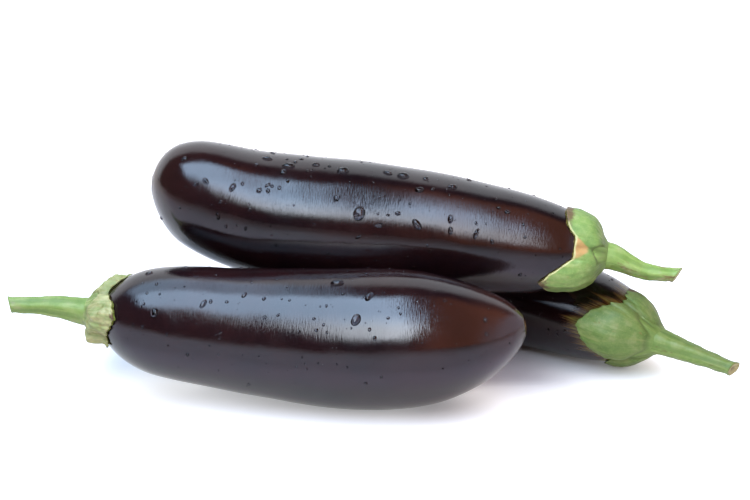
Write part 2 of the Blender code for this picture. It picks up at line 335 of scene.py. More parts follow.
def face_outwards(mesh):
    """Turns every face round if the closed mesh is inside out."""
    mesh.calc_loop_triangles()
    points = np.empty(len(mesh.vertices) * 3, np.float32)
    mesh.vertices.foreach_get("co", points)
    corners = np.empty(len(mesh.loop_triangles) * 3, np.int32)
    mesh.loop_triangles.foreach_get("vertices", corners)
    if np.linalg.det(points.reshape(-1, 3)[corners.reshape(-1, 3)].astype(float)).sum() < 0:
        mesh.flip_normals()


def piece(name, mesh, material, node=None):
    """The finished piece: in the scene, riding on the stack and standing for its CAD node."""
    mesh.materials.clear()
    mesh.materials.append(material)
    obj = bpy.data.objects.new(name, mesh)
    bpy.context.scene.collection.objects.link(obj)
    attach(obj, "root")
    if node:
        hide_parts(node)


def make_each(shape, finish, props, part, node):
    """One piece of this kind for each eggplant."""
    for place, eggplant in EGGPLANTS.items():
        mesh = shape(place, eggplant, BODIES[place], props)
        piece(f"{place}_{part}", mesh, finish, f"{place}_{node}")


# Node helpers. A value is either another node's output or a number or colour for the socket itself.


def put(tree, socket, value):
    if isinstance(value, bpy.types.NodeSocket):
        tree.links.new(value, socket)
    else:
        socket.default_value = value


def add(tree, kind, inputs=None, **settings):
    node = tree.nodes.new(kind)
    for key, value in settings.items():
        setattr(node, key, value)
    for key, value in (inputs or {}).items():
        put(tree, node.inputs[key], value)
    return node


def arith(tree, operation, a, b=0.0):
    return add(tree, "ShaderNodeMath", {0: a, 1: b}, operation=operation).outputs[0]


def eased(tree, value, low, high, to_low=0.0, to_high=1.0):
    """The value carried from one range to another along an even curve."""
    inputs = {"Value": value, "From Min": low, "From Max": high, "To Min": to_low, "To Max": to_high}
    return add(tree, "ShaderNodeMapRange", inputs, interpolation_type="SMOOTHSTEP").outputs[0]


def mixed(tree, share, a, b):
    """Colour a, which turns into colour b as the share goes from 0 to 1."""
    a, b = [(*c[:3], 1.0) if isinstance(c, tuple) else c for c in (a, b)]
    return add(tree, "ShaderNodeMix", {0: share, 6: a, 7: b}, data_type="RGBA").outputs[2]


class Finish:
    """A material while its nodes are put together."""

    def __init__(self, name, **sockets):
        self.material = bpy.data.materials.new(name)
        self.material.use_nodes = True
        self.tree = self.material.node_tree
        self.shader = self.tree.nodes["Principled BSDF"]
        for key, value in sockets.items():
            self.set(key.replace("_", " "), value)

    def set(self, socket, value):
        put(self.tree, self.shader.inputs[socket], value)

    def place(self):
        return add(self.tree, "ShaderNodeTexCoord").outputs["Object"]

    def attribute(self, name, vector=False):
        return add(self.tree, "ShaderNodeAttribute", attribute_name=name).outputs["Vector" if vector else "Fac"]

    def stretched(self, vector, scale):
        return add(self.tree, "ShaderNodeMapping", {"Vector": vector, "Scale": scale}).outputs[0]

    def noise(self, vector, scale, detail=3.0, rough=0.55, distortion=0.0):
        inputs = {"Vector": vector, "Scale": scale, "Detail": detail, "Roughness": rough, "Distortion": distortion}
        return add(self.tree, "ShaderNodeTexNoise", inputs).outputs[0]

    def grain(self, lie, draw, *settings):
        """Noise drawn out along the piece: the smaller draw is, the longer its streaks."""
        return self.noise(self.stretched(lie, (1.0, 1.0, draw)), *settings)

    def math(self, operation, a, b):
        return arith(self.tree, operation, a, b)

    def plus(self, a, b):
        return self.math("ADD", a, b)

    def times(self, a, b):
        return self.math("MULTIPLY", a, b)

    def jitter(self, value, pattern, amount):
        """The value, pushed up and down by this much of a noise pattern."""
        return self.plus(value, self.times(self.math("SUBTRACT", pattern, 0.5), amount))

    def spread(self, *settings):
        return eased(self.tree, *settings)

    def ramp(self, value, stops):
        node = add(self.tree, "ShaderNodeValToRGB", {0: value})
        elements = node.color_ramp.elements
        while len(elements) < len(stops):
            elements.new(0.5)
        for element, (position, color) in zip(elements, stops):
            element.position = position
            element.color = (*color[:3], 1.0)
        return node.outputs[0]

    def mix(self, share, a, b):
        return mixed(self.tree, share, a, b)

    def tinted(self, base, *layers):
        """The base colour under layers, each of a pattern, the pattern's values where the layer starts and where
        it is full, its strength there and its colour."""
        for pattern, start, full, most, colour in layers:
            base = self.mix(self.spread(pattern, start, full, 0.0, most), base, colour)
        return base

    def bump(self, height, depth, normal=None):
        inputs = {"Height": height, "Distance": depth, "Strength": 1.0}
        if normal:
            inputs["Normal"] = normal
        return add(self.tree, "ShaderNodeBump", inputs).outputs[0]

    def fleshy(self, coarse, fine, dullest, glossiest, depth):
        """The softness, roughness and fine relief of a green piece."""
        self.set("Roughness", self.spread(coarse, 0.3, 0.7, dullest, glossiest))
        self.set("Subsurface Weight", 0.08)
        self.set("Subsurface Radius", (0.5, 0.8, 0.2))
        self.set("Subsurface Scale", 0.8 * MM)
        self.set("Normal", self.bump(fine, 0.05 * MM, self.bump(coarse, depth)))


# The studio's light on the greens, and the part of it that the dark skins show.
LIT = (2.27, 2.42, 3.62)
DIM = (1.4, 1.4, 1.4)


def tone(red, green, blue, light=LIT):
    """Linear colour of a surface that shows as this 0 to 255 colour when this much light falls on it."""
    return tuple(min(1.0, ((c / 255 + 0.055) / 1.055) ** 2.4 / part) for c, part in zip((red, green, blue), light))


class EGGPLANTS_PG_skin(bpy.types.PropertyGroup):
    color: FloatVectorProperty(
        name="Skin", description="The darkest tone of the skin", subtype="COLOR", default=(0.0040, 0.0018, 0.0026))
    flush: FloatVectorProperty(
        name="Flush", description="The warmer tone in the skin's clouds",
        subtype="COLOR", default=(0.0115, 0.0036, 0.0037))
    border: FloatVectorProperty(
        name="Border", description="The pale skin beside the calyx", subtype="COLOR", default=tone(150, 144, 70, DIM))
    ripple: FloatProperty(
        name="Ripple", description="Height of the slow waves in the skin",
        unit="LENGTH", default=0.35 * MM, min=0.0, max=2 * MM)
    gloss: FloatProperty(
        name="Roughness", description="How dull the skin's shine is",
        subtype="FACTOR", default=0.13, min=0.02, max=1.0)


class EGGPLANTS_PG_calyx(bpy.types.PropertyGroup):
    color: FloatVectorProperty(
        name="Green", description="The main green of the calyxes", subtype="COLOR", default=tone(136, 168, 96))
    pale: FloatVectorProperty(
        name="Pale green", description="The chalky green between the veins",
        subtype="COLOR", default=tone(168, 186, 132))
    rim: FloatVectorProperty(
        name="Rim", description="The cream edge of each lobe", subtype="COLOR", default=tone(214, 205, 160))
    dry: FloatVectorProperty(
        name="Dry", description="The dried tips of the lobes", subtype="COLOR", default=tone(108, 80, 56))
    wrinkle: FloatProperty(
        name="Wrinkle", description="Height of the fine wrinkles",
        unit="LENGTH", default=0.22 * MM, min=0.0, max=1 * MM)


class EGGPLANTS_PG_stem(bpy.types.PropertyGroup):
    color: FloatVectorProperty(
        name="Green", description="The main green of the stems", subtype="COLOR", default=tone(150, 182, 104))
    pith: FloatVectorProperty(name="Pith", description="The cut end", subtype="COLOR", default=tone(226, 222, 180))
    ribs: IntProperty(name="Ribs", description="Ribs round each stem", default=5, min=0, max=12)
    rib_height: FloatProperty(
        name="Rib height", description="How far a rib stands out",
        unit="LENGTH", default=0.5 * MM, min=0.0, max=2 * MM)


class EGGPLANTS_PG_water(bpy.types.PropertyGroup):
    density: FloatProperty(
        name="Beads per square metre", description="How thickly the small beads lie",
        default=15000.0, min=0.0, max=60000.0)
    smallest: FloatProperty(
        name="Smallest bead", description="Radius of the smallest bead",
        unit="LENGTH", default=0.22 * MM, min=0.0, max=2 * MM)
    largest: FloatProperty(
        name="Largest bead", description="Radius of the largest bead",
        unit="LENGTH", default=1.05 * MM, min=0.0, max=4 * MM)
    seed: IntProperty(name="Seed", description="Where the small beads fall", default=4, min=0)


class EGGPLANTS_PG_stage(bpy.types.PropertyGroup):
    floor: FloatVectorProperty(
        name="Floor", description="Colour of the table", subtype="COLOR", default=(0.72, 0.72, 0.72))
    shine: FloatProperty(
        name="Shine", description="How much the table glows where it is clear of the fruits", default=0.75, min=0.0)
    key: FloatProperty(name="Key light", description="Strength of the softboxes over the fruits", default=7.0, min=0.0)


GROUPS = {
    "eggplants_skin": EGGPLANTS_PG_skin,
    "eggplants_calyx": EGGPLANTS_PG_calyx,
    "eggplants_stem": EGGPLANTS_PG_stem,
    "eggplants_water": EGGPLANTS_PG_water,
    "eggplants_stage": EGGPLANTS_PG_stage,
}


def calyx_reach(eggplant, degrees, seed):
    """How far the calyx and its green part reach along the skin, how far the edge is lifted, how central an angle
    is in its lobe, how dry the lobe's tip is and how near a crease between two lobes is."""
    degrees = np.asarray(degrees, float)
    reach, lift, centre, dry = (np.zeros_like(degrees) for _ in range(4))
    for middle, tip, half_width, raised, blunt, tip_dry in eggplant["lobes"]:
        away = (degrees - middle + 180.0) % 360.0 - 180.0
        part = np.maximum(0.0, 1.0 - np.abs(away / half_width) ** blunt) ** 1.1
        reach += (tip - eggplant["notch"]) * part
        lift += raised * part
        centre = np.maximum(centre, part)
        dry += tip_dry * smooth(part, 0.72, 1.0)
    crease = np.zeros_like(degrees)
    lobes = sorted(eggplant["lobes"], key=lambda lobe: lobe[0])
    for this, after in zip(lobes, lobes[1:] + lobes[:1]):
        start = this[0] + this[2]
        end = after[0] - after[2] + (360.0 if after[0] < this[0] else 0.0)
        away = (degrees - (start + end) / 2 + 180.0) % 360.0 - 180.0
        crease = np.maximum(crease, np.exp(-((away / 5.0) ** 2)))
    turn = np.radians(degrees)
    ring = np.stack([np.cos(turn), np.sin(turn), np.full_like(turn, seed)], -1)
    teeth = roughen(ring, 0.16, 2) + 0.6 * np.abs(roughen(ring, 0.055, 2))
    green = eggplant["notch"] + reach + teeth * eggplant["ragged"]
    reach = np.maximum(green, eggplant["web"] + 0.4 * teeth)
    return reach, green, lift, centre, dry, crease


class EGGPLANTS_OT_fruits(bpy.types.Operator):
    """Grow the three fruits with their glossy skins"""

    bl_idname = "eggplants.fruits"
    bl_label = "Fruits"

    def execute(self, context):
        props = context.scene.eggplants_skin
        make_each(fruit_mesh, skin_finish(props), props, "fruit_skin", "fruit")
        return {"FINISHED"}


def fruit_mesh(place, eggplant, body, props):
    rings = np.linspace(0, SAMPLES - 1, FRUIT_RINGS)
    distance = np.interp(rings, np.arange(SAMPLES), body.reach)[:, None]
    degrees = np.arange(FRUIT_SIDES)[None] * 360.0 / FRUIT_SIDES
    angle = np.radians(degrees)
    from_tip = body.reach[-1] - distance
    bare = body.skin(distance, angle, 0.0) + apart(place)
    slow, quick = roughen(bare, SLOW_WAVE), roughen(bare, QUICK_WAVE)
    ripple = (slow * props.ripple / MM + quick * 0.05) * smooth(distance, 0.0, 14.0) * smooth(from_tip, 0.0, 10.0)
    # The blossom scar is a small dimple at the far pole, with a low rim.
    ripple = ripple - 0.9 * np.exp(-((from_tip / 2.6) ** 2)) + 0.25 * np.exp(-(((from_tip - 4.2) / 1.6) ** 2))
    points = body.skin(distance, angle, ripple)
    points[..., 2] = np.maximum(points[..., 2], 0.0)
    past = distance - calyx_reach(eggplant, degrees, len(place))[0]
    turned = np.broadcast_arrays(np.cos(angle) * 30.0, np.sin(angle) * 30.0, distance)
    others = [other for key, other in BODIES.items() if key != place]
    gap = np.minimum(*[other.gap(points.reshape(-1, 3)) for other in others]).reshape(ripple.shape)
    return wrapped(f"{place}_fruit_skin", points, {
        "skin_lie": np.stack(turned, -1) * MM,
        "past_calyx": past / eggplant["border"],
        "from_tip": from_tip * MM,
        # No beads where two fruits touch, on the underside or at the calyx.
        "wet": smooth(gap, 1.5, 3.0) * smooth(np.cos(angle), -0.75, -0.1) * smooth(past, 2.0, 6.0),
    })


def apart(place):
    """Sets each eggplant's noise apart from the others'."""
    return {"front": 0.0, "top": 311.0, "back": 647.0}[place]


def skin_finish(props):
    skin = Finish("aubergine_gloss", IOR=1.5)
    where = skin.place()
    lie = skin.attribute("skin_lie", vector=True)
    past, from_tip = skin.attribute("past_calyx"), skin.attribute("from_tip")
    clouds = skin.noise(where, 26.0, 4.0, 0.6)
    base = skin.ramp(clouds, [(0.36, tuple(props.color)), (0.66, tuple(props.flush))])
    flecks = skin.noise(where, 1500.0, 2.0, 0.5)
    base = skin.tinted(base, (flecks, 0.66, 0.78, 0.3, tone(70, 52, 50, DIM)))
    # The pale border ends in streaks that run out from the calyx.
    streaks = skin.grain(lie, 0.03, 1500.0, 3.0, 0.6)
    strands = skin.grain(lie, 0.04, 620.0, 2.0, 0.5)
    broad = skin.grain(lie, 0.05, 210.0, 3.0, 0.55)
    torn = skin.jitter(skin.jitter(skin.jitter(past, streaks, 2.8), strands, 2.2), broad, 1.4)
    bare = skin.ramp(skin.spread(torn, -0.8, 1.3), [
        (0.15, tone(140, 150, 66, DIM)), (0.4, tuple(props.border)),
        (0.7, tone(122, 98, 44, DIM)), (1.0, tone(76, 44, 34, DIM)),
    ])
    bare = skin.mix(skin.spread(streaks, 0.40, 0.56, 0.7, 0.0), bare, tone(70, 46, 32, DIM))
    base = skin.mix(skin.spread(torn, 0.25, 1.25, 1.0, 0.0), base, bare)
    # The browner skin round the blossom scar, partly real colour and partly a painted warm reflection, then the scar.
    base = skin.mix(skin.spread(from_tip, 0.012, 0.042, 0.45, 0.0), base, tone(66, 36, 28, DIM))
    base = skin.mix(skin.spread(from_tip, 0.0012, 0.0032, 0.9, 0.0), base, tone(150, 116, 80, DIM))
    skin.set("Base Color", base)
    dull = skin.noise(where, 90.0, 4.0, 0.6)
    rough = skin.spread(dull, 0.35, 0.75, props.gloss - 0.02, props.gloss + 0.07)
    skin.set("Roughness", skin.plus(rough, skin.spread(torn, 0.4, 1.2, 0.12, 0.0)))
    # Hair-fine scuffs that run round the fruit, and pores.
    scuffs = skin.noise(skin.stretched(lie, (0.16, 0.16, 1.0)), 1700.0, 2.0, 0.6, 0.4)
    pores = skin.noise(where, 900.0, 2.0, 0.5)
    skin.set("Normal", skin.bump(pores, 0.010 * MM, skin.bump(scuffs, 0.06 * MM)))
    return skin.material


class EGGPLANTS_OT_calyxes(bpy.types.Operator):
    """Fold the lobed calyxes over the stem ends of the fruits"""

    bl_idname = "eggplants.calyxes"
    bl_label = "Calyxes"

    def execute(self, context):
        props = context.scene.eggplants_calyx
        make_each(calyx_mesh, calyx_finish(props), props, "calyx_leaf", "calyx")
        return {"FINISHED"}


def calyx_mesh(place, eggplant, body, props):
    """Rows run out along the inner face, round the rim and back along the outer face."""
    degrees = np.arange(CALYX_SIDES)[None] * 360.0 / CALYX_SIDES
    angle = np.radians(degrees)
    reach, green, lift, centre, dry, crease = calyx_reach(eggplant, degrees, len(place))
    hole = eggplant["stem"][0][1] + CLEARANCE
    start = body.reach_of_radius(hole)
    inner = np.linspace(0.0, 1.0, CALYX_INNER)
    outer = np.linspace(1.0, 0.0, CALYX_OUTER) ** 0.9
    round_rim = np.linspace(0.0, math.pi, CALYX_RIM + 2)[1:-1]
    out = np.concatenate([inner, np.ones(CALYX_RIM), outer])[:, None]
    face = np.concatenate([np.zeros(CALYX_INNER), (1 - np.cos(round_rim)) / 2, np.ones(CALYX_OUTER)])[:, None]
    bulge = np.concatenate([np.zeros(CALYX_INNER), np.sin(round_rim), np.zeros(CALYX_OUTER)])[:, None]
    distance = start + (reach - start) * out + bulge * LOBE_EDGE * 0.45
    under = CLEARANCE + lift * out**2
    collar = eggplant["collar"]
    thick = LOBE_EDGE + (collar * 0.95 - LOBE_EDGE) * (1.0 - out) ** 1.2
    swell = np.sin(math.pi * np.clip(out, 0, 1) ** 0.8) ** 0.8 * smooth(out, 0.16, 0.5)
    thick = thick + eggplant["pad"] * centre**0.6 * swell
    side, height = eggplant["bulge"]
    aside = (degrees - side + 180.0) % 360.0 - 180.0
    thick = thick + height * np.exp(-((aside / 48.0) ** 2)) * np.exp(-(((out - 0.42) / 0.24) ** 2))
    # The groove where the lobes leave the stem, deepest between lobes.
    groove = 0.15 + 0.30 * (1.0 - smooth(centre, 0.0, 0.7))
    thick = thick - 0.9 * np.exp(-(((out - groove) / 0.055) ** 2)) - 0.8 * smooth(out, groove + 0.03, groove - 0.05)
    thick = thick - crease * (0.35 + 0.3 * eggplant["pad"]) * smooth(out, 0.05, 0.3) * smooth(out, 1.05, 0.8)
    # The midrib of each lobe.
    thick = thick + 0.3 * smooth(centre, 0.9, 1.0) * smooth(out, 0.1, 0.4) * smooth(out, 1.0, 0.6)
    shell = body.skin(distance, angle, under)
    lumps = roughen(shell + apart(place), 5.0, 3) * eggplant["crumple"]
    grain = np.stack(np.broadcast_arrays(np.cos(angle) * 9.0, np.sin(angle) * 9.0, out * 2.2), -1)
    veins = roughen(grain + apart(place), 0.8, 2) * props.wrinkle / MM
    # The inner face follows the outer one's folds a little near the rim.
    offset = under + (thick + (lumps + veins) * smooth(out, 0.0, 0.2)) * face + lumps * 0.35 * out**3 * (1 - face)
    points = body.skin(distance, angle, np.maximum(offset, CLEARANCE * 0.5))
    # The innermost rows climb the stem as a collar.
    pole, along = body.middle(1.0)
    rim = body.skin(start, angle, 0.0) - pole
    rim = pole + (rim - (rim @ along)[..., None] * along) + along * collar
    rim = rim - (rim - pole - along * collar) * 0.16 + along * (collar * (eggplant["neck"] - 1.0))
    pull = np.maximum(0.0, 1.0 - out * 2.4 / eggplant["neck"]) ** 1.5 * face
    points = points + (rim - points) * pull[..., None]
    points[..., 2] = np.maximum(points[..., 2], 0.1)
    grain = np.stack(np.broadcast_arrays(np.cos(angle) * 14.0, np.sin(angle) * 14.0, distance * 0.6), -1)
    return wrapped(f"{place}_calyx_leaf", points, {
        "leaf_lie": grain * MM,
        "edge": smooth(reach - distance, 1.0, 0.1) * eggplant["cream"],
        "dry": dry * smooth(out, 0.78, 1.0) + np.maximum(dry - 0.95, 0.0) * smooth(out, 0.3, 0.8),
        "groove": np.exp(-(((out - groove) / 0.035) ** 2)),
        "crease": crease * smooth(out, 0.02, 0.15),
        "web": smooth(distance - green, -0.6, 0.6) * smooth(reach - green, 0.2, 1.0),
        "near_stem": smooth(out, groove + 0.02, groove - 0.03),
        "chalk": eggplant["chalk"],
    }, end_caps=False)


def calyx_finish(props):
    leaf = Finish("calyx_leaf", IOR=1.42)
    where = leaf.place()
    lie = leaf.attribute("leaf_lie", vector=True)
    names = ("edge", "dry", "crease", "web", "near_stem", "chalk", "groove")
    edge, dry, crease, web, near_stem, chalk, groove = (leaf.attribute(name) for name in names)
    clouds = leaf.noise(where, 170.0, 5.0, 0.65)
    veins = leaf.grain(lie, 0.22, 520.0, 4.0, 0.65)
    specks = leaf.noise(where, 1400.0, 3.0, 0.6)
    rust = leaf.noise(where, 260.0, 4.0, 0.7)
    base = leaf.ramp(clouds, [(0.32, tone(112, 150, 76)), (0.5, tuple(props.color)), (0.72, tuple(props.pale))])
    base = leaf.tinted(
        base,
        (veins, 0.52, 0.72, 0.55, tone(184, 194, 134)),
        (veins, 0.46, 0.30, 0.5, tone(96, 134, 62)),
        (specks, 0.6, 0.72, 0.5, tone(196, 206, 150)),
    )
    chalky = leaf.ramp(veins, [(0.35, tone(174, 186, 134)), (0.55, tone(222, 214, 180)), (0.75, tone(226, 210, 150))])
    base = leaf.mix(leaf.times(chalk, leaf.spread(clouds, 0.3, 0.6, 0.55, 1.0)), base, chalky)
    base = leaf.tinted(base, (leaf.plus(rust, leaf.times(chalk, 0.09)), 0.62, 0.76, 0.6, tone(172, 142, 88)))
    base = leaf.mix(leaf.times(near_stem, 0.5), base, tone(150, 186, 106))
    # Painted shade: the creases between the lobes and the groove round the stem are darkened.
    fold_shade = leaf.math("MAXIMUM", leaf.times(crease, 0.7), groove)
    base = leaf.mix(leaf.times(fold_shade, 0.5), base, tone(78, 100, 44))
    base = leaf.mix(leaf.times(web, leaf.spread(rust, 0.3, 0.55, 0.75, 1.0)), base, tone(206, 160, 112))
    base = leaf.tinted(
        base,
        (leaf.jitter(edge, specks, 0.9), 0.35, 0.7, 0.9, tuple(props.rim)),
        (leaf.jitter(dry, rust, 1.6), 0.3, 0.75, 0.95, tuple(props.dry)),
    )
    leaf.set("Base Color", base)
    leaf.fleshy(veins, specks, 0.62, 0.46, 0.12 * MM)
    return leaf.material


class EGGPLANTS_OT_stems(bpy.types.Operator):
    """Draw out the ribbed stems to their cut ends"""

    bl_idname = "eggplants.stems"
    bl_label = "Stems"

    def execute(self, context):
        props = context.scene.eggplants_stem
        make_each(stem_mesh, stem_finish(props), props, "stem_stalk", "stem")
        return {"FINISHED"}


def stem_mesh(place, eggplant, body, props):
    """Rings from inside the collar to the cut, then in over the cut face to its middle."""
    pole, along = body.middle(1.0)
    collar = eggplant["collar"]
    path = [pole + along * (CLEARANCE + collar * part) for part in (0.0, 0.7, 1.4)]
    path += [np.array(point) + SET_DOWN for point in eggplant["stem_path"]]
    centres = spline(through_ends(path), STEM_RINGS)
    steps = np.linalg.norm(np.diff(centres, axis=0), axis=1)
    run = np.concatenate([[0.0], np.cumsum(steps)])
    profile = spline(through_ends(eggplant["stem"]), STEM_RINGS)
    radii = np.interp(run, profile[:, 0], profile[:, 1])
    ways = unit(np.gradient(centres, axis=0))
    side = unit(np.cross(ways, (0.0, 0.0, 1.0)))
    up = np.cross(side, ways)
    angle = np.arange(STEM_SIDES)[None] * 2 * math.pi / STEM_SIDES
    out = up[:, None] * np.cos(angle)[..., None] + side[:, None] * np.sin(angle)[..., None]
    share = (run / run[-1])[:, None]
    twist = 0.5 * share + 0.7 * len(place)
    ribs = np.abs(np.cos(props.ribs / 2 * (angle + twist))) ** 3 - 0.45
    lumps = roughen(centres[:, None] + out * 6 + apart(place), 6.0, 3)
    fade = smooth(share, 0.02, 0.25)
    radius = radii[:, None] + (ribs * props.rib_height / MM * (1 - 0.5 * share) + lumps * 0.35) * fade
    radius = radius + 0.1 + eggplant["flare"] * np.exp(-((run[:, None] / 9.0) ** 2))
    radius = radius + 0.35 * np.exp(-(((run[:, None] - run[-1]) / 1.2) ** 2))
    up_lean, side_lean = eggplant["slant"]
    lean = np.cos(angle) * up_lean + np.sin(angle) * side_lean
    late = smooth(run, run[-1] - 7.0, run[-1])[:, None]
    rows = centres[:, None] + out * radius[..., None] + ways[:, None] * (lean * late)[..., None]
    # The cut: a worn rim and a shallow hollow in the pith.
    cut_in = np.array((0.9, 0.78, 0.55, 0.3, 0.0))
    sink = np.array((0.25, 0.1, -0.35, -0.6, -0.7))
    end = [centres[-1] + out[-1] * (radius[-1] * part)[:, None] + ways[-1] * (depth + lean[0] * part)[:, None]
           for part, depth in zip(cut_in, sink)]
    end[-1] = np.broadcast_to(end[-1].mean(axis=0), end[-1].shape)
    base = np.broadcast_to(centres[0], rows[0].shape)
    points = np.concatenate([base[None], rows, np.array(end)])
    points[..., 2] = np.maximum(points[..., 2], 0.1)
    # One value for each ring: the base, the stalk and the cut.
    def ringed(base_value, stalk, cut_face):
        return np.concatenate([[base_value], stalk, cut_face])[:, None]

    full = np.ones(STEM_RINGS)
    cut_rings = np.ones(len(cut_in))
    core = ringed(1.0, full, cut_in)
    runs = ringed(0.0, run, cut_rings * run[-1])
    lie = np.stack(np.broadcast_arrays(np.cos(angle) * 5.0 * core, np.sin(angle) * 5.0 * core, runs), -1)
    smooth_end = np.zeros((len(cut_in), STEM_SIDES))
    return wrapped(f"{place}_stem_stalk", points, {
        "stem_lie": lie * MM,
        "down_stem": ringed(0.0, share[:, 0], cut_rings),
        "cut": ringed(0.0, np.where(np.arange(STEM_RINGS) < STEM_RINGS - 1, 0.0, 0.5), cut_rings),
        "core": core,
        "below": ringed(0.0, full, cut_rings * 0.0) * np.maximum(0.0, -np.cos(angle)),
        "rib": np.concatenate([smooth_end[:1], ribs * fade, smooth_end]),
        "scorch": eggplant["scorch"],
    })


def stem_finish(props):
    stem = Finish("stem_stalk", IOR=1.42)
    where = stem.place()
    lie = stem.attribute("stem_lie", vector=True)
    names = ("down_stem", "cut", "core", "below", "rib", "scorch")
    down, cut, core, below, rib, scorch = (stem.attribute(name) for name in names)
    clouds = stem.noise(where, 150.0, 4.0, 0.6)
    grain = stem.grain(lie, 0.07, 900.0, 4.0, 0.65)
    base = stem.ramp(clouds, [(0.3, tone(128, 164, 80)), (0.5, tuple(props.color)), (0.75, tone(178, 198, 138))])
    base = stem.tinted(
        base,
        (grain, 0.54, 0.7, 0.6, tone(190, 204, 146)),
        (grain, 0.44, 0.3, 0.6, tone(102, 142, 62)),
        # painted shade: darker green down the grooves between the ribs
        (rib, -0.1, -0.45, 0.45, tone(100, 140, 62)),
    )
    # Brown and grey scars, mostly under the stem and towards its end.
    scars = stem.grain(lie, 0.25, 330.0, 5.0, 0.7)
    worn = stem.plus(stem.times(down, 0.16), stem.times(below, 0.10))
    worn = stem.times(worn, stem.plus(scorch, 0.25))
    scarred = stem.spread(stem.plus(scars, worn), 0.66, 0.76)
    base = stem.mix(stem.times(scarred, 0.85), base, tone(132, 112, 74))
    base = stem.tinted(base, (stem.plus(clouds, worn), 0.68, 0.82, 0.6, tone(170, 168, 146)))
    # The cut: brown bark line, then pale pith that is darker in the hollow.
    flesh = stem.noise(where, 900.0, 4.0, 0.7)
    pith = stem.tinted(
        tuple(props.pith),
        (flesh, 0.4, 0.65, 1.0, tone(190, 180, 128)),
        (core, 0.5, 0.1, 0.75, tone(140, 116, 78)),
        (core, 0.8, 0.95, 0.7, tone(150, 166, 92)),
    )
    stem.set("Base Color", stem.mix(stem.spread(cut, 0.5, 0.9), base, pith))
    stem.fleshy(grain, flesh, 0.6, 0.45, 0.14 * MM)
    return stem.material


def water_finish():
    # Painted shade: the grey tint darkens what shows through the water, in place of the skin's lost shine under the
    # drops.
    water = Finish("darkened_water", IOR=1.333, Base_Color=(0.26, 0.24, 0.27, 1.0))
    water.set("Transmission Weight", 1.0)
    where = water.place()
    film = water.noise(where, 700.0, 2.0, 0.5)
    water.set("Roughness", water.spread(film, 0.3, 0.8, 0.0, 0.03))
    water.set("Normal", water.bump(film, 0.01 * MM))
    return water.material


def geometry_tree(name, sockets):
    """A Geometry Nodes tree with these named inputs: (name, socket type, default)."""
    tree = bpy.data.node_groups.new(name, "GeometryNodeTree")
    tree.is_modifier = True
    tree.interface.new_socket("Geometry", in_out="INPUT", socket_type="NodeSocketGeometry")
    tree.interface.new_socket("Geometry", in_out="OUTPUT", socket_type="NodeSocketGeometry")
    for label, kind, default in sockets:
        tree.interface.new_socket(label, in_out="INPUT", socket_type=kind).default_value = default
    return tree, add(tree, "NodeGroupInput").outputs, add(tree, "NodeGroupOutput").inputs["Geometry"]


def random_value(tree, low, high, seed, salt):
    """A random number for each point, and another one for another salt."""
    node = add(tree, "FunctionNodeRandomValue", {"Seed": arith(tree, "ADD", seed, float(salt))}, data_type="FLOAT")
    least, most = [socket for socket in node.inputs if socket.type == "VALUE"][:2]
    put(tree, least, low)
    put(tree, most, high)
    return next(socket for socket in node.outputs if socket.type == "VALUE")


def attribute_field(tree, name, kind="FLOAT"):
    """The value of a named attribute at each point."""
    node = add(tree, "GeometryNodeInputNamedAttribute", {"Name": name}, data_type=kind)
    return next(socket for socket in node.outputs if socket.enabled and socket.name == "Attribute")


def dome(tree, segments, rings, flatness):
    """A bead of water: a flattened ball, whose lower half lies in the skin."""
    ball = add(tree, "GeometryNodeMeshUVSphere", {"Segments": segments, "Rings": rings, "Radius": 1.0}).outputs["Mesh"]
    return add(tree, "GeometryNodeTransform", {"Geometry": ball, "Scale": (1.0, 1.0, flatness)}).outputs[0]


def finished(tree, instances, material, wobble, output):
    """Instances made real, pushed a little out of round, smooth and given their material."""
    real = add(tree, "GeometryNodeRealizeInstances", {"Geometry": instances}).outputs[0]
    swirl = add(tree, "ShaderNodeTexNoise", {"Scale": 420.0, "Detail": 1.0}).outputs["Color"]
    centred = add(tree, "ShaderNodeVectorMath", {0: swirl, 1: (0.5, 0.5, 0.5)}, operation="SUBTRACT").outputs[0]
    push = add(tree, "ShaderNodeVectorMath", {0: centred, "Scale": wobble}, operation="SCALE").outputs[0]
    moved = add(tree, "GeometryNodeSetPosition", {"Geometry": real, "Offset": push}).outputs[0]
    even = add(tree, "GeometryNodeSetShadeSmooth", {"Geometry": moved}).outputs[0]
    painted = add(tree, "GeometryNodeSetMaterial", {"Geometry": even, "Material": material}).outputs[0]
    tree.links.new(painted, output)


def bead_tree(material):
    """Small beads of water, scattered over the skin where its wet attribute allows."""
    tree, given, output = geometry_tree("small_beads", [
        ("Beads per square metre", "NodeSocketFloat", 9000.0), ("Smallest", "NodeSocketFloat", 0.2 * MM),
        ("Largest", "NodeSocketFloat", 0.8 * MM), ("Seed", "NodeSocketInt", 1), ("Wobble", "NodeSocketFloat", 0.3 * MM)])
    density = arith(tree, "MULTIPLY", attribute_field(tree, "wet"), given["Beads per square metre"])
    inputs = {"Mesh": given["Geometry"], "Density": density, "Seed": given["Seed"]}
    scatter = add(tree, "GeometryNodeDistributePointsOnFaces", inputs)
    luck = random_value(tree, 0.0, 1.0, given["Seed"], 1)
    # Most beads are near the smallest size.
    inputs = {"Value": arith(tree, "POWER", luck, 3.2), "To Min": given["Smallest"], "To Max": given["Largest"]}
    size = add(tree, "ShaderNodeMapRange", inputs).outputs[0]
    length = arith(tree, "MULTIPLY", size, random_value(tree, 0.75, 1.35, given["Seed"], 2))
    scale = add(tree, "ShaderNodeCombineXYZ", {"X": size, "Y": length, "Z": size}).outputs[0]
    placed = add(tree, "GeometryNodeInstanceOnPoints", {
        "Points": scatter.outputs["Points"], "Instance": dome(tree, 10, 6, 0.62),
        "Rotation": scatter.outputs["Rotation"], "Scale": scale}).outputs[0]
    finished(tree, placed, material, given["Wobble"], output)
    return tree


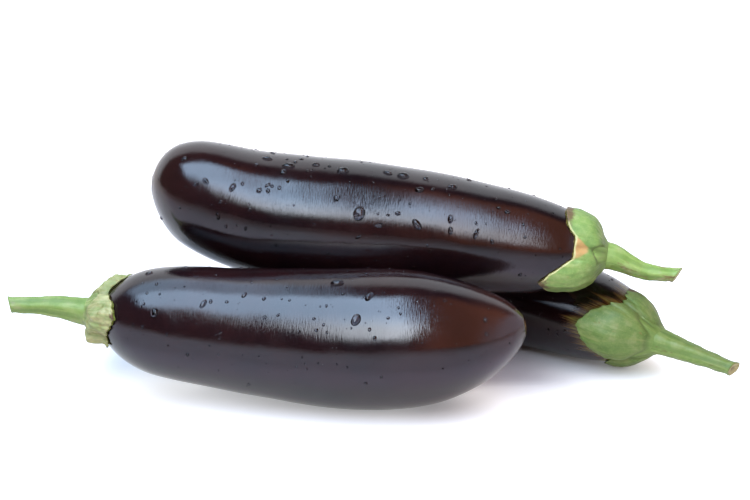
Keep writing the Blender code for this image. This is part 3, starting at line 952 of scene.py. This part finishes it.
def drop_tree(material):
    """Large drops of water on listed points, each with its own size and turn."""
    tree, given, output = geometry_tree("large_drops", [
        ("Swell", "NodeSocketFloat", 1.0), ("Wobble", "NodeSocketFloat", 0.5 * MM)])
    size = attribute_field(tree, "drop_size", "FLOAT_VECTOR")
    scale = add(tree, "ShaderNodeVectorMath", {0: size, "Scale": given["Swell"]}, operation="SCALE").outputs[0]
    turn = add(tree, "FunctionNodeEulerToRotation", {0: attribute_field(tree, "drop_turn", "FLOAT_VECTOR")}).outputs[0]
    points = add(tree, "GeometryNodeMeshToPoints", {"Mesh": given["Geometry"]}).outputs[0]
    placed = add(tree, "GeometryNodeInstanceOnPoints", {
        "Points": points, "Instance": dome(tree, 32, 18, 1.0), "Rotation": turn, "Scale": scale}).outputs[0]
    finished(tree, placed, material, given["Wobble"], output)
    return tree


# Attributes of the skin and of the drops' points, which the water itself has no use for.
PASSED_ON = ("drop_size", "drop_turn", "wet", "skin_lie", "past_calyx", "from_tip")


def grown(name, mesh, tree, values):
    """The plain mesh that the tree makes from this one, with the tree's named inputs set."""
    obj = bpy.data.objects.new(name + "_seed", mesh)
    bpy.context.scene.collection.objects.link(obj)
    modifier = obj.modifiers.new(name, "NODES")
    modifier.node_group = tree
    for item in tree.interface.items_tree:
        if item.in_out == "INPUT" and item.name in values:
            modifier[item.identifier] = values[item.name]
    graph = bpy.context.evaluated_depsgraph_get()
    made = bpy.data.meshes.new_from_object(obj.evaluated_get(graph))
    obj.modifiers.clear()
    bpy.data.objects.remove(obj)
    if not made.polygons:
        raise RuntimeError(f"{name} came out empty")
    made.name = name
    for layer in [layer.name for layer in made.attributes if layer.name in PASSED_ON]:
        made.attributes.remove(made.attributes[layer])
    return made


class EGGPLANTS_OT_water(bpy.types.Operator):
    """Wet the skins with small beads and large drops"""

    bl_idname = "eggplants.water"
    bl_label = "Water"

    def execute(self, context):
        props = context.scene.eggplants_water
        water = water_finish()
        beads, drops = bead_tree(water), drop_tree(water)
        for number, place in enumerate(EGGPLANTS):
            skin = bpy.data.objects[f"{place}_fruit_skin"].data
            small = {"Beads per square metre": props.density, "Smallest": props.smallest,
                     "Largest": props.largest, "Seed": props.seed + number * 10}
            for name, mesh, tree, values in (
                (f"{place}_beads", skin.copy(), beads, small),
                (f"{place}_drops", drop_points(place, skin), drops, {"Swell": 1.0}),
            ):
                piece(name, grown(name, mesh, tree, values), water)
        return {"FINISHED"}


# Height of a large drop above the skin, over the mean of its length and width.
DROP_HEIGHT = 0.36


def drop_points(place, skin):
    """One vertex for each large drop on the side of the fruit that the viewer sees."""
    tree = BVHTree.FromPolygons([v.co for v in skin.vertices], [p.vertices[:] for p in skin.polygons])
    spots, sizes, turns = [], [], []
    for across, high, length, width, turn in LARGE_DROPS[place]:
        aim = VIEW_TARGET + VIEW_RIGHT * (across * MM) + VIEW_UP * (high * MM) - VIEW_EYE
        spot, normal, _, _ = tree.ray_cast(VIEW_EYE, aim.normalized())
        if spot is None:
            continue
        turn = math.radians(turn)
        lengthways = VIEW_RIGHT * math.sin(turn) + VIEW_UP * math.cos(turn)
        lengthways = (lengthways - normal * lengthways.dot(normal)).normalized()
        axes = Matrix((lengthways.cross(normal), lengthways, normal)).transposed()
        height = DROP_HEIGHT * math.sqrt(width * length)
        spots.append(spot)
        sizes.append((width / 2 * MM, length / 2 * MM, height * MM))
        turns.append(tuple(axes.to_euler()))
    mesh = bpy.data.meshes.new(place + "_drop_points")
    mesh.from_pydata(spots, [], [])
    for key, values in (("drop_size", sizes), ("drop_turn", turns)):
        layer = mesh.attributes.new(key, "FLOAT_VECTOR", "POINT")
        layer.data.foreach_set("vector", np.array(values, np.float32).ravel())
    return mesh


class EGGPLANTS_OT_stage(bpy.types.Operator):
    """Set the pale table, the soft lights and the camera"""

    bl_idname = "eggplants.stage"
    bl_label = "Stage"

    def execute(self, context):
        props = context.scene.eggplants_stage
        set_floor(props)
        set_world()
        set_cards(props)
        set_camera()
        context.scene.view_settings.view_transform = "Standard"
        context.scene.view_settings.look = "None"
        return {"FINISHED"}


def staged(name, points, faces, material):
    """A part of the stage, which isn't part of the stack."""
    mesh = bpy.data.meshes.new(name)
    mesh.from_pydata(points, [], faces)
    mesh.materials.append(material)
    obj = bpy.data.objects.new(name, mesh)
    bpy.context.scene.collection.objects.link(obj)
    obj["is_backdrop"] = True
    return obj


# The fine middle of the table's grid, and its coarse outer lines, in metres.
NEAR_X, NEAR_Y = np.linspace(-0.30, 0.32, 125), np.linspace(-0.36, 0.26, 125)
FAR = (1.0, 8.0)


def set_floor(props):
    """A wide table, which glows a little where it is clear of the fruits, so that it fades to pure white."""
    xs, ys = (np.concatenate([[-FAR[1], -FAR[0]], near, FAR]) for near in (NEAR_X, NEAR_Y))
    grid = np.stack([*np.meshgrid(xs, ys), np.zeros((len(ys), len(xs)))], -1)
    flat = grid.reshape(-1, 3) / MM
    x, y = flat[:, 0], flat[:, 1]
    gap = np.min([body.gap(flat) for body in BODIES.values()], axis=0)
    # Little light reaches the corner between the front and back fruits, the table under the top one,
    # and the table beside the front fruit's stem.
    corner = 0.75 * smooth(x, 32.0, 60.0) * smooth(y, -78.0, -36.0)
    under = smooth(x, -95.0, -60.0) * smooth(y, -66.0, -36.0)
    shade = np.maximum(corner, under) * smooth(x, 126.0, 70.0) * smooth(y, 110.0, 50.0)
    end = smooth(x, -60.0, -95.0) * smooth(x, -150.0, -125.0) * smooth(y, -58.0, -10.0) * smooth(y, 60.0, 20.0)
    shade = np.maximum(shade, 0.9 * end)
    # In front of the fruits it glows less further out, where only their undersides show it.
    front = smooth(y, -60.0, -88.0)
    least = 0.45 - 0.3 * smooth(x, 5.0, 40.0)
    clear = (least + (1.0 - least) * smooth(gap, 0.0, 18.0)) * (1.0 - shade)
    clear = clear * (1.0 - 0.62 * front * smooth(gap, 24.0, 60.0)) * (1.0 - 0.75 * smooth(y, -180.0, -310.0))
    # Further out in front the glow turns violet, painted light that the fruits' undersides show as a violet
    # reflection.
    tint = front * smooth(gap, 10.0, 30.0) * smooth(y, -320.0, -220.0)
    floor = Finish("pale_table", Roughness=0.9, IOR=1.3)
    speck = floor.noise(floor.place(), 60.0, 3.0)
    pale = tuple(props.floor)
    floor.set("Base Color", floor.mix(floor.spread(speck, 0.3, 0.7), pale, tuple(part * 0.98 for part in pale)))
    floor.set("Emission Color", floor.mix(floor.attribute("tint"), (1.0, 1.02, 1.04), (1.06, 0.92, 1.24)))
    floor.set("Emission Strength", floor.times(floor.attribute("clear"), props.shine))
    table = staged("table", grid.reshape(-1, 3).tolist(), grid_faces(len(ys), len(xs)), floor.material)
    for key, values in (("clear", clear), ("tint", tint)):
        table.data.attributes.new(key, "FLOAT", "POINT").data.foreach_set("value", values.astype(np.float32))


def grid_faces(rows, columns, kept=None):
    """The faces of a grid of points, or of those of its cells that are kept."""
    cells = [(r, k) for r in range(rows - 1) for k in range(columns - 1) if kept is None or kept(r, k)]
    return [(r * columns + k, r * columns + k + 1, (r + 1) * columns + k + 1, (r + 1) * columns + k) for r, k in cells]


def set_world():
    """A bright wall behind and a dark room in front and above."""
    world = bpy.data.worlds.new("studio")
    world.use_nodes = True
    bpy.context.scene.world = world
    tree = world.node_tree
    tree.nodes.clear()
    way = add(tree, "ShaderNodeTexCoord").outputs["Generated"]
    parts = add(tree, "ShaderNodeSeparateXYZ", {0: way}).outputs

    forward = eased(tree, parts["Y"], 0.05, 0.30, 1.0, 0.0)
    seen = add(tree, "ShaderNodeLightPath").outputs["Is Camera Ray"]
    color = (0.06, 0.045, 0.047)
    for share, light in (
        # Warm wall to the right, cool window beyond it, bright wall behind, and what the viewer sees of it.
        (arith(tree, "MULTIPLY", eased(tree, parts["X"], 0.10, 0.30), forward), (1.0, 0.36, 0.18)),
        (eased(tree, parts["X"], 0.72, 0.86), (1.1, 1.1, 1.35)),
        (eased(tree, parts["Y"], 0.36, 0.56), (1.35, 1.4, 1.5)),
        (seen, (1.2, 1.2, 1.2)),
    ):
        color = mixed(tree, share, color, light)
    shader = add(tree, "ShaderNodeBackground", {"Color": color})
    tree.links.new(shader.outputs[0], add(tree, "ShaderNodeOutputWorld").inputs["Surface"])


# The softboxes' white at the bottom and at the top, their middle above the table and their grid of angles.
PALE, BLUE = np.array((0.91, 1.0, 1.11)), np.array((0.72, 1.0, 1.38))
CARD_MIDDLE = (0.0, -0.05, 0.05)
CARD_ACROSS, CARD_UP = np.arange(-57.0, 37.0, 1.5), np.arange(0.0, 132.0, 2.0)
KEY = 7.0


def curved_card(name, glow_at, strength, shown_to, radius):
    """A softbox bent round the stack, that is not itself in view. glow_at gives its brightness at angles across
    from straight ahead of the viewer's side and up from level. Only the pieces shown to it are lit."""
    glow = bpy.data.materials.new(name + "_glow")
    glow.use_nodes = True
    tree = glow.node_tree
    tree.nodes.clear()
    tint = add(tree, "ShaderNodeAttribute", attribute_name="glow").outputs["Color"]
    shader = add(tree, "ShaderNodeEmission", {"Color": tint, "Strength": 1.0}).outputs[0]
    # Clear as well as glowing, so that a softbox doesn't hide the one behind it from the pieces it doesn't light.
    through = add(tree, "ShaderNodeBsdfTransparent").outputs[0]
    both = add(tree, "ShaderNodeAddShader", {0: shader, 1: through}).outputs[0]
    tree.links.new(both, add(tree, "ShaderNodeOutputMaterial").inputs["Surface"])
    across, up = np.meshgrid(CARD_ACROSS, CARD_UP)
    power = np.maximum(glow_at(across, up) * strength, 0.0)
    turn = np.radians(up)
    points = np.stack([np.tan(np.radians(across)), -np.cos(turn), np.sin(turn)], -1) * radius + CARD_MIDDLE
    cool = smooth(up, 24.0, 62.0)[..., None]
    color = (PALE * (1 - cool) + BLUE * cool) * power[..., None]
    faces = grid_faces(*power.shape, lambda r, k: power[r : r + 2, k : k + 2].max() > 0.05)
    obj = staged(name, points.reshape(-1, 3).tolist(), faces, glow)
    colors = np.concatenate([color, np.ones_like(color[..., :1])], -1).astype(np.float32)
    obj.data.attributes.new("glow", "FLOAT_COLOR", "POINT").data.foreach_set("color", colors.ravel())
    obj.visible_camera = False
    group = bpy.data.collections.new(name + "_lights")
    for piece_name in shown_to:
        group.objects.link(bpy.data.objects[piece_name])
    obj.light_linking.receiver_collection = group


def soft(value, edge, width):
    """0 well below the edge and 1 well above it, blurred over this width to each side."""
    return smooth(value, edge - width, edge + width)


def between(value, low, low_blur, high, high_blur):
    """1 between two blurred edges and 0 outside them."""
    return soft(value, low, low_blur) * (1 - soft(value, high, high_blur))


def low_glow(across, up):
    """The softbox over the front fruit and all the greens. Its lower edge steps down towards the right."""
    low = np.interp(across, (-52, -44, -32, -28, -25, -20, -15, -8, 4), (60, 52, 48, 56, 29, 23, 15, 13, 14))
    blur = np.interp(across, (-29, -25), (9.0, 5.0))
    right = np.interp(up, (12, 18, 24, 36, 54, 66, 84), (-2, 3, 7, 10, 8, 5.5, 2.5))
    near = np.interp(across, (-50, -24, -20, -8, 0, 6), (6.3, 7.5, 8.4, 10.5, 12.9, 13.0))
    far = np.interp(across, (-50, -24, 0), (6.5, 6.5, 8.5))
    main = near + (far - near) * smooth(up, 36, 62)
    rim = 3.0 * between(up, 89, 5, 118, 6) * between(across, -52, 4, -14, 5)
    return main * between(up, low, blur, 89, 5) * between(across, -50, 4, right, 3) + rim


def high_glow(across, up):
    """The two softboxes over the top fruit, with a dark strip between them."""
    low = np.interp(across, (-36, -28, -22, -16, -12, -6, 4), (58, 54, 54, 48, 31, 26, 29))
    blur = np.interp(across, (-20, -12), (14.0, 7.0))
    right = np.interp(up, (40, 60, 84), (3.0, 1.5, 1.0))
    first = 7.2 + 3.4 * soft(across, -11, 5) * (1 - soft(up, 55, 12))
    first = first * between(up, low, blur, 90, 5) * between(across, -35, 3, right, 2.5)
    left = np.interp(up, (36, 48, 60, 72, 84), (6.0, 7.5, 10.5, 13.5, 14.5))
    right = np.interp(up, (30, 48, 60, 72, 84), (30.5, 30.0, 27.5, 24.0, 23.0))
    low = np.interp(across, (8, 16, 20, 26), (30, 31, 22, 14))
    second = np.interp(across, (8, 16, 24, 30), (8.8, 8.0, 6.3, 5.0)) * (1 - smooth(up, 56, 100))
    return first + second * soft(up, low, 6) * between(across, left, 2, right, 2.5)


def small_glow(across, up):
    """The one window that the back fruit's skin shows."""
    return 7.0 * between(across, -41, 4, -35, 4) * between(up, 24, 9, 52, 10)


def table_glow(across, up):
    """The softbox for the table, wide and tall, which leaves only a soft shadow close under the fruits."""
    return 2.4 * between(across, -46, 8, 26, 8) * between(up, 22, 10, 120, 8)


def set_cards(props):
    """The softboxes, each a little outside the last."""
    scale = props.key / KEY
    greens, skins = ("calyx_leaf", "stem_stalk"), ("fruit_skin", "drops", "beads")
    low = [f"front_{part}" for part in skins] + [f"{place}_{part}" for place in EGGPLANTS for part in greens]
    high = [f"top_{part}" for part in greens + skins]
    curved_card("low_softbox", low_glow, scale, low, 0.500)
    curved_card("high_softbox", high_glow, scale, high, 0.501)
    curved_card("small_softbox", small_glow, scale, [f"back_{part}" for part in skins], 0.503)
    curved_card("table_softbox", table_glow, 1.0, ["table"], 0.502)


def set_camera():
    data = bpy.data.cameras.new("viewer")
    data.lens = VIEW_LENS
    data.sensor_width = 36.0
    data.clip_start, data.clip_end = 0.01, 60.0
    camera = bpy.data.objects.new("viewer", data)
    camera.location = VIEW_EYE
    camera.rotation_euler = (math.pi / 2 - VIEW_TILT, 0.0, 0.0)
    bpy.context.scene.collection.objects.link(camera)
    bpy.context.scene.camera = camera


class EGGPLANTS_PT_panel(bpy.types.Panel):
    """Lists the pieces of the stack and their sizes and colours"""

    bl_idname = "EGGPLANTS_PT_panel"
    bl_label = "Eggplants"
    bl_space_type = "VIEW_3D"
    bl_region_type = "UI"
    bl_category = "Eggplants"

    def draw(self, context):
        for operator, group in PIECES:
            box = self.layout.box()
            box.operator(operator.bl_idname)
            settings = getattr(context.scene, group)
            for key in GROUPS[group].__annotations__:
                box.prop(settings, key)


PIECES = (
    (EGGPLANTS_OT_fruits, "eggplants_skin"),
    (EGGPLANTS_OT_calyxes, "eggplants_calyx"),
    (EGGPLANTS_OT_stems, "eggplants_stem"),
    (EGGPLANTS_OT_water, "eggplants_water"),
    (EGGPLANTS_OT_stage, "eggplants_stage"),
)


def register():
    for group in GROUPS.values():
        bpy.utils.register_class(group)
    for key, group in GROUPS.items():
        setattr(bpy.types.Scene, key, PointerProperty(type=group))
    for operator, _ in PIECES:
        bpy.utils.register_class(operator)
    bpy.utils.register_class(EGGPLANTS_PT_panel)


def unregister():
    bpy.utils.unregister_class(EGGPLANTS_PT_panel)
    for operator, _ in reversed(PIECES):
        bpy.utils.unregister_class(operator)
    for key in GROUPS:
        delattr(bpy.types.Scene, key)
    for group in reversed(list(GROUPS.values())):
        bpy.utils.unregister_class(group)


def main():
    register()
    bpy.ops.eggplants.fruits()
    bpy.ops.eggplants.calyxes()
    bpy.ops.eggplants.stems()
    bpy.ops.eggplants.water()
    bpy.ops.eggplants.stage()
    sizes = {"cad": CAD_BOX, "visual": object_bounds()}
    sizes = {key: [[float(number) for number in corner] for corner in box] for key, box in sizes.items()}


if __name__ == "__main__":
    main()
